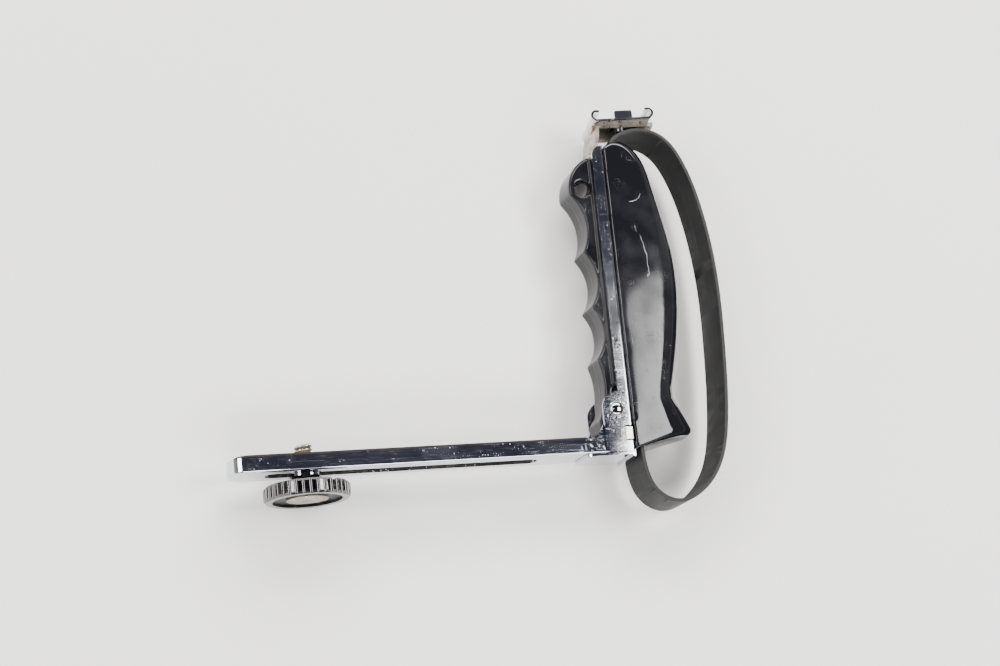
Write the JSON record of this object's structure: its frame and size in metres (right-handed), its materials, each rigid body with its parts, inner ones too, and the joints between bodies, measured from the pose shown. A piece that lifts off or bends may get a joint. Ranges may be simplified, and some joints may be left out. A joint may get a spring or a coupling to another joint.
{
  "type": "folding flash bracket",
  "caption": "Flash bracket: a slotted camera bar with a captive knurled screw folds on a riveted pivot against a pistol grip with finger grooves, accessory shoe and hand strap.",
  "frame": {"origin": "on the camera screw's axis, level with the rubber pad's surface", "axes": "+X along the bar towards the fold pivot, +Y up the camera screw towards the camera, +Z along the fold pivot; the bracket lies on its side"},
  "size_m": [0.1856, 0.1498, 0.0298],
  "materials": {
    "chromed_steel": "polished chrome plate",
    "nickel_steel": "worn nickel plate",
    "spring_steel": "plain drawn wire",
    "brass": "turned",
    "black_plastic": "moulded, glossy",
    "strap_rubber": "moulded, satin",
    "pad_rubber": "matte, glued into the bar",
    "black_lacquer": "black lacquer"
  },
  "bodies": {
    "handle": {"handle_channel": "chromed_steel", "finger_grip": "black_plastic", "grip_inserts": "brass", "palm_grip": "black_plastic", "grip_screws": "nickel_steel", "hand_strap": "strap_rubber", "strap_screws": "nickel_steel", "strap_washers": "nickel_steel", "shoe_bracket": "nickel_steel", "bracket_rivets": "nickel_steel", "accessory_shoe": "chromed_steel", "shoe_rivets": "nickel_steel", "hinge_pin": "chromed_steel", "hinge_washers": "chromed_steel", "hinge_spacer": "nickel_steel", "lock_springs": "spring_steel"},
    "arm": {"camera_bar": "chromed_steel", "bar_pad": "pad_rubber"},
    "carriage": {"retaining_plate": "nickel_steel", "guide_bush": "chromed_steel"},
    "knob": {"camera_screw": "nickel_steel", "knob_body": "chromed_steel", "knob_recess": "black_lacquer", "knob_disc": "nickel_steel"},
    "lock": {"lock_bar": "nickel_steel"}
  },
  "joints": [
    {"name": "fold", "type": "hinge", "parent": "handle", "child": "arm", "pos_m": [0.112, 0.0091, 0], "axis": [0, 0, -1], "range_deg": [0, 91]},
    {"name": "screw_slide", "type": "slide", "parent": "arm", "child": "carriage", "axis": [1, 0, 0], "range_m": [-0.0105, 0.0795]},
    {"name": "knob_spin", "type": "hinge", "parent": "carriage", "child": "knob", "pos_m": [0, 0, 0], "axis": [0, 1, 0], "continuous": true},
    {"name": "lock_slide", "type": "slide", "parent": "handle", "child": "lock", "axis": [0.9997, -0.0253, 0], "range_m": [0, 0.0012], "stiffness_N_per_m": 800, "springref_m": -0.003, "deforming": ["lock_springs"]}
  ]
}
